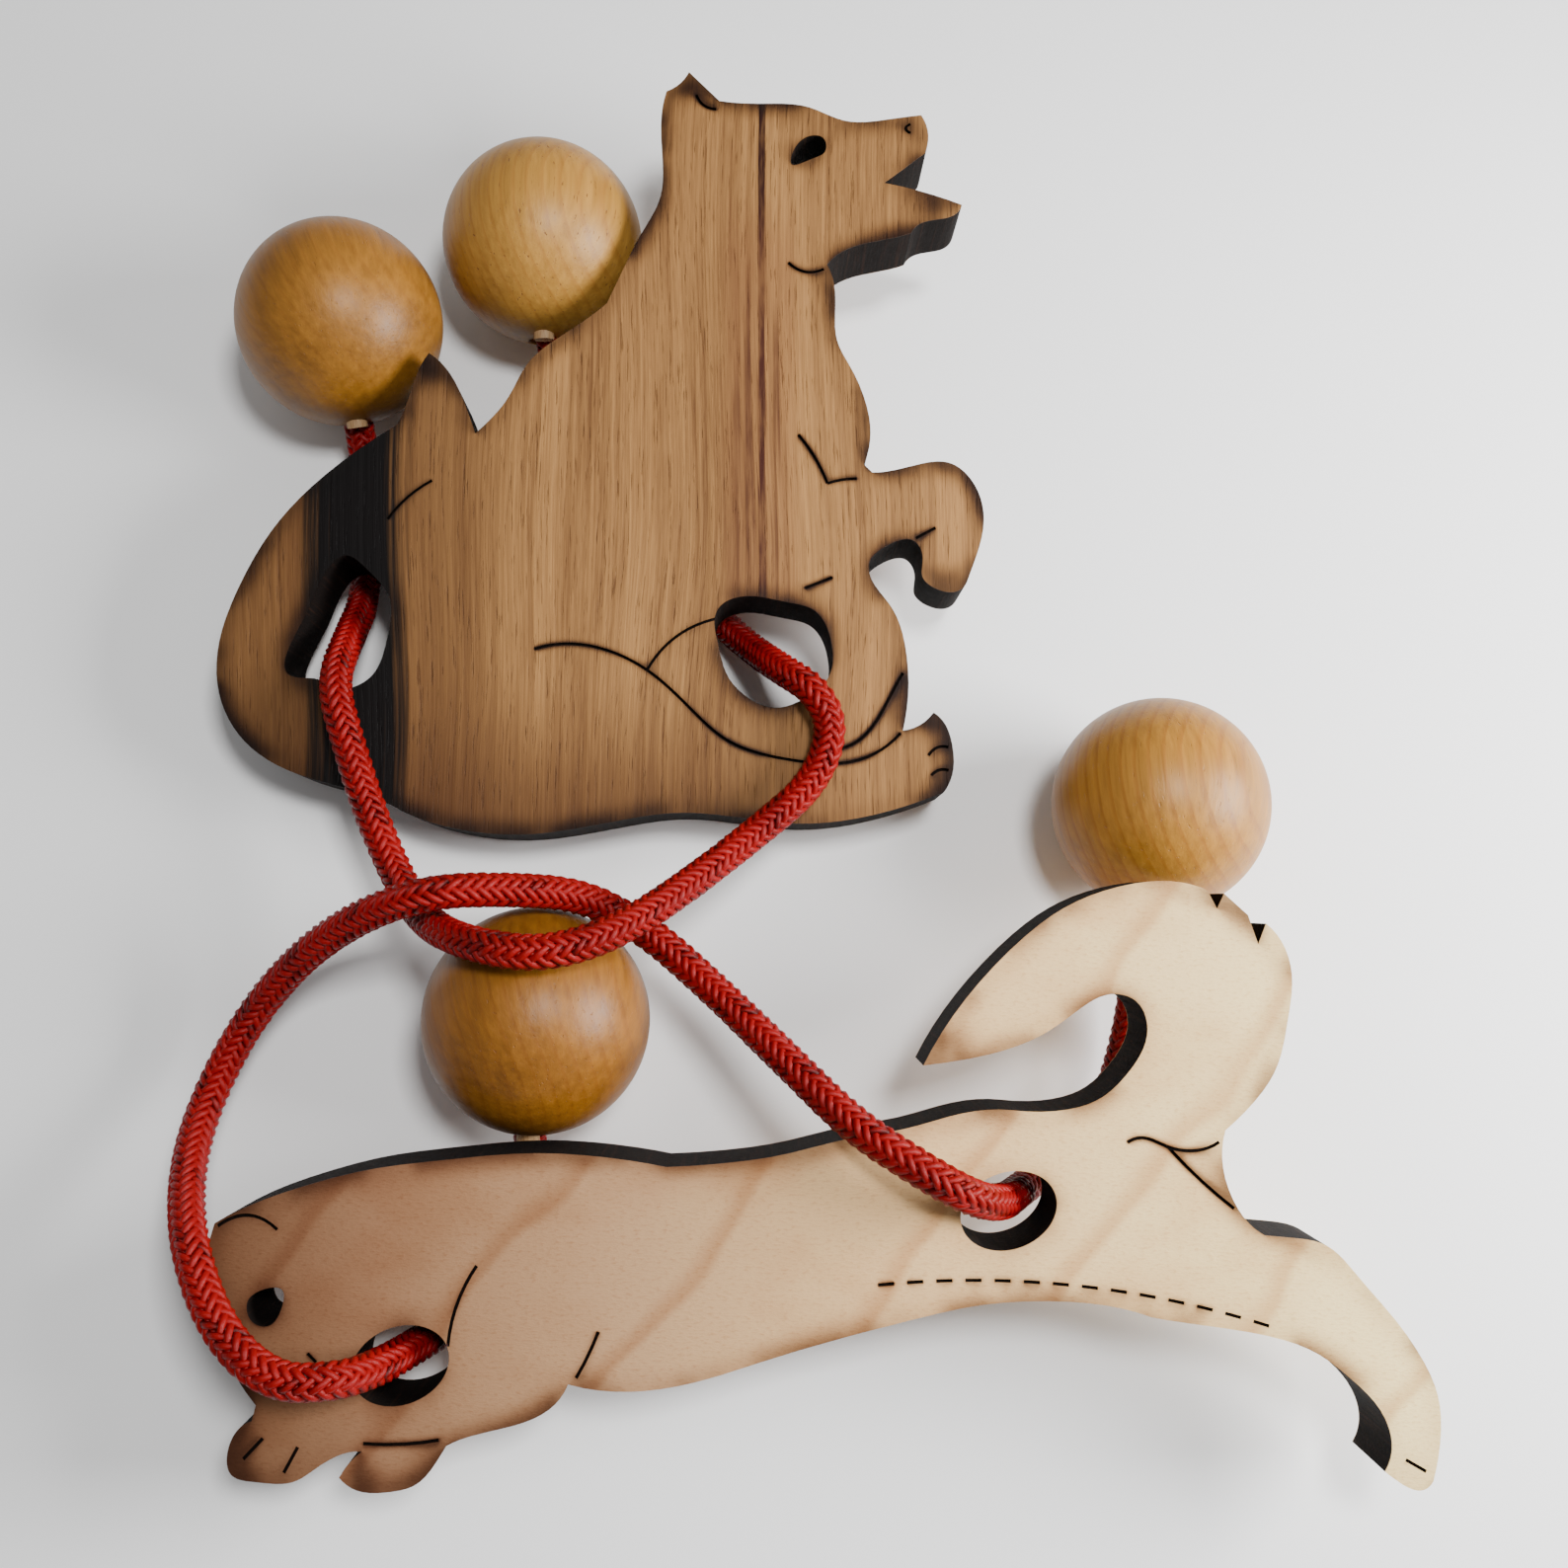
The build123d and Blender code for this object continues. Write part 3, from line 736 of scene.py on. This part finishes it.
# %% Make the balls' wood
BALL_LOOKS = {
    # light and dark tone, grain direction, strength of the growth lines, of the flecks and mottle
    "dog_tail_ball": (rgb(152, 102, 34), rgb(86, 52, 13), (70, 10, 20), 0.12, 0.15, 0.9),
    "dog_back_ball": (rgb(182, 134, 60), rgb(118, 78, 27), (88, 4, 0), 0.22, 0.8, 0.35),
    "fox_head_ball": (rgb(146, 94, 28), rgb(84, 48, 10), (60, 25, 0), 0.2, 0.2, 0.9),
    "fox_tail_ball": (rgb(178, 124, 46), rgb(104, 67, 20), (84, -6, 0), 0.3, 0.3, 0.3),
}
SHELL_AXIS = (31.0, 12.0)       # how far outside the middle the growth lines' axis is
SHELL_SPACING = 1.5
SHELL_TINT = rgb(198, 150, 100)
FLECK_BROWN = rgb(98, 58, 30)
BALL_RELIEF = 0.06 * MM
BALL_SHINE, BALL_COAT, COAT_ROUGHNESS = 0.3, 0.06, 0.35


def distance(tree, x, y):
    squares = [calc(tree, "POWER", value, 2.0) for value in (x, y)]
    return calc(tree, "SQRT", calc(tree, "ADD", *squares))


def ball_finish(name):
    light, dark, turn, ring_share, fleck_share, mottle_share = BALL_LOOKS[name]
    finish, tree, shader = new_finish(name + "_wood")
    where = place_in(tree, ball_centre(name), Euler([radians(a) for a in turn]))
    x, y, z = split(tree, where)
    lines = noise(tree, where, (1.1, 1.1, 0.035), 5.0, 0.6)
    mottle = noise(tree, where, (0.14, 0.14, 0.1), 4.0, 0.6)
    far = distance(tree, calc(tree, "ADD", x, SHELL_AXIS[0]), calc(tree, "ADD", y, SHELL_AXIS[1]))
    shells = calc(tree, "DIVIDE", far, SHELL_SPACING)
    rings = calc(tree, "FRACT", calc(tree, "MULTIPLY_ADD", mottle, 0.5, shells))
    ring_line = calc(tree, "MULTIPLY", fade(tree, rings, 0.5, 0.9),
                     calc(tree, "SUBTRACT", 1.0, fade(tree, rings, 0.92, 1.0)))
    fleck = fade(tree, noise(tree, where, (3.2, 3.2, 0.4), 2.0, 0.5), 0.66, 0.74)
    patches = calc(tree, "MULTIPLY_ADD", mottle, mottle_share, 0.35 - mottle_share / 2)
    tone = calc(tree, "ADD", patches, calc(tree, "MULTIPLY_ADD", lines, 0.9, -0.2))
    wood = mix(tree, tone, dark, light)
    shell_share = calc(tree, "MULTIPLY", ring_line, ring_share)
    wood = mix(tree, shell_share, wood, SHELL_TINT, "MULTIPLY")
    wood = mix(tree, calc(tree, "MULTIPLY", fleck, fleck_share), wood, FLECK_BROWN)
    feed(tree, shader.inputs["Base Color"], wood)
    feed(tree, shader.inputs["Roughness"], calc(tree, "MULTIPLY_ADD", lines, 0.24, 0.32))
    relief = calc(tree, "MULTIPLY_ADD", fleck, -0.5, calc(tree, "ADD", lines, mottle))
    feed(tree, shader.inputs["Normal"], bump(tree, relief, BALL_RELIEF))
    shader.inputs["Specular IOR Level"].default_value = BALL_SHINE
    shader.inputs["Coat Weight"].default_value = BALL_COAT
    shader.inputs["Coat Roughness"].default_value = COAT_ROUGHNESS
    return finish


for name in BALLS:
    BALLS[name]["piece"].data.materials.clear()
    BALLS[name]["piece"].data.materials.append(ball_finish(name))
print("four ball finishes")

# %% [markdown]
# ## Peg ends
# The pegs are cut from thin dowel, so what shows is pale end grain: small dark dots of pores on
# cream, with a few rings round the middle and a darker rim of glue.

# %% Make the pegs' wood
END_GRAIN = rgb(222, 190, 142)
PORE_DOTS = rgb(150, 108, 66)
PEG_RINGS = rgb(186, 140, 92)
GLUE_RIM = rgb(120, 82, 46)
GLUE_FADE = (1.05, 1.3)         # from the middle of the peg, in millimetres
PEG_RELIEF = 0.08 * MM


def peg_finish(name):
    finish, tree, shader = new_finish(name + "_end_grain")
    turn = ball_turn(name)
    middle = ball_centre(name) + turn @ Vector((0, PEG_OFFSET, BALL_R))
    where = place_in(tree, middle, turn.to_euler("XYZ"))
    x, y, z = split(tree, where)
    far = distance(tree, x, y)
    pores = noise(tree, where, (7.0, 7.0, 0.6), 2.0, 0.5)
    rings = calc(tree, "SINE", calc(tree, "MULTIPLY", far, 16.0))
    wood = mix(tree, fade(tree, pores, 0.5, 0.68), END_GRAIN, PORE_DOTS)
    wood = mix(tree, calc(tree, "MULTIPLY_ADD", rings, 0.12, 0.12), wood, PEG_RINGS)
    glue = calc(tree, "MULTIPLY", fade(tree, far, *GLUE_FADE), 0.6)
    wood = mix(tree, glue, wood, GLUE_RIM)
    feed(tree, shader.inputs["Base Color"], wood)
    feed(tree, shader.inputs["Roughness"], calc(tree, "MULTIPLY_ADD", pores, 0.3, 0.45))
    feed(tree, shader.inputs["Normal"], bump(tree, pores, PEG_RELIEF))
    return finish


for name in BALLS:
    finish_node(name.replace("_ball", "_peg"), peg_finish(name))
print("four peg finishes")

# %% [markdown]
# ## Red braid
# The cord is a shiny synthetic braid. Its red is painted lighter on the crests of its strands, a
# painted highlight, and darker in the gaps, painted shade between the strands. A number on every
# vertex is meant to say how far it is from the cord's middle line, from 0 in a gap to 1 on a crest,
# so that the ramp can tell them apart. It has a known fault: the vertices don't lie in the plain
# order that the count below relies on, so over nine tenths of the numbers are off, and about three
# quarters come out over 1 and take the ramp's brightest red, its painted highlight. Measuring from
# each vertex to its nearest step, with a KDTree, would give the right number, and the ramp's
# colours would then need another look. Each strand is also a bundle of fine fibres, which a small
# noise stands for.

# %% Write each vertex's height above the middle line
def write_crest(braid, steps):
    heights = braid.data.attributes.new("crest", "FLOAT", "POINT")
    ring = len(braid.data.vertices) // (2 * CARRIERS * len(steps))
    low, high = CORD_D / 2 - 2 * STRAND_R - 2 * STRAND_DIP, CORD_D / 2
    values = []
    for vertex in braid.data.vertices:
        # known fault: most vertices are matched with a step some way off
        step = vertex.index // ring % len(steps)
        values.append(((vertex.co - steps[step]).length - low) / (high - low))
    heights.data.foreach_set("value", values)
    over = sum(value > 1 for value in values) / len(values)
    print(braid.name, "crest up to", round(max(values), 2), "share over 1:", round(over, 2))


write_crest(dog_braid, dog_steps)
write_crest(fox_braid, fox_steps)

# %% Make the cord's finish
# the cord's own red, painted dark in the gaps as painted shade between the strands and light on the
# crests as a painted highlight
CORD_SHADE_AND_HIGHLIGHT_REDS = [
    # crest value, colour
    (0.35, rgb(8, 0, 0)), (0.62, rgb(42, 0, 0)), (0.84, rgb(74, 0, 1)), (1.0, rgb(132, 10, 12)),
]
WORN_RED = rgb(56, 0, 2)
CORE_REDS = (rgb(46, 0, 3), rgb(92, 2, 8))
CORD_SHINE = 0.16
CORD_RELIEF = 0.05 * MM

cord_red, tree, shader = new_finish("red_braid")
where = place_in(tree, (0, 0, 0), (0, 0, 0))
crest = tree.nodes.new("ShaderNodeAttribute")
crest.attribute_name = "crest"
fibres = noise(tree, where, (7.0, 7.0, 7.0), 3.0, 0.65)
worn = noise(tree, where, (0.12, 0.12, 0.12), 2.0)
height = calc(tree, "ADD", crest.outputs["Fac"], calc(tree, "MULTIPLY_ADD", fibres, 0.3, -0.15))
# painted shade in the gaps and a painted highlight on the crests
colour = ramp(tree, height, CORD_SHADE_AND_HIGHLIGHT_REDS)
colour = mix(tree, calc(tree, "MULTIPLY", fade(tree, worn, 0.45, 0.65), 0.3), colour, WORN_RED)
feed(tree, shader.inputs["Base Color"], colour)
feed(tree, shader.inputs["Roughness"], calc(tree, "MULTIPLY_ADD", fibres, 0.25, 0.22))
feed(tree, shader.inputs["Normal"], bump(tree, fibres, CORD_RELIEF))
shader.inputs["Specular IOR Level"].default_value = CORD_SHINE

core_red, tree, shader = new_finish("red_core")
where = place_in(tree, (0, 0, 0), (0, 0, 0))
fibres = noise(tree, where, (4.0, 4.0, 4.0), 3.0, 0.6)
feed(tree, shader.inputs["Base Color"], mix(tree, fibres, *CORE_REDS))
feed(tree, shader.inputs["Roughness"], calc(tree, "MULTIPLY_ADD", fibres, 0.2, 0.6))
for braid, core in ((dog_braid, dog_core), (fox_braid, fox_core)):
    braid.data.materials.append(cord_red)
    core.data.materials.append(core_red)
print("cord finishes done")

# %% [markdown]
# ## Table and light
# A big pale table, a large soft light from the right that falls off towards the left, a smaller
# one from above that puts a soft gleam on the balls, and an even pale surround.

# %% Lay the table and hang the lights
TABLE_SIZE = 6.0
TABLE_GREY = (0.9, 0.9, 0.9, 1)
TABLE_ROUGHNESS = 0.9
SURROUND_STRENGTH = 0.3

bpy.ops.object.select_all(action="DESELECT")
bpy.ops.mesh.primitive_plane_add(size=TABLE_SIZE)
table = bpy.context.object
table.name = "table"
pale, tree, shader = new_finish("pale_table")
shader.inputs["Base Color"].default_value = TABLE_GREY
shader.inputs["Roughness"].default_value = TABLE_ROUGHNESS
table.data.materials.append(pale)

LIGHTS = {
    # place, what it points at, width, power in watts
    "window_right": ((0.24, -0.02, 0.14), (0.0, -0.02, 0.0), 0.14, 1.85),
    "lamp_above": ((0.06, 0.01, 0.37), (-0.01, -0.01, 0.0), 0.07, 1.15),
}
for name, (place, target, width, power) in LIGHTS.items():
    data = bpy.data.lights.new(name, "AREA")
    data.shape = "SQUARE"
    data.size = width
    data.energy = power
    lamp = bpy.data.objects.new(name, data)
    bpy.context.scene.collection.objects.link(lamp)
    direction = Vector(target) - Vector(place)
    aim = direction.to_track_quat("-Z", "Y").to_matrix().to_4x4()
    lamp.matrix_world = Matrix.Translation(place) @ aim

world = bpy.data.worlds.new("surround")
bpy.context.scene.world = world
world.use_nodes = True
background = world.node_tree.nodes["Background"]
background.inputs["Color"].default_value = (1, 1, 1, 1)
background.inputs["Strength"].default_value = SURROUND_STRENGTH
print(len(LIGHTS), "lights")
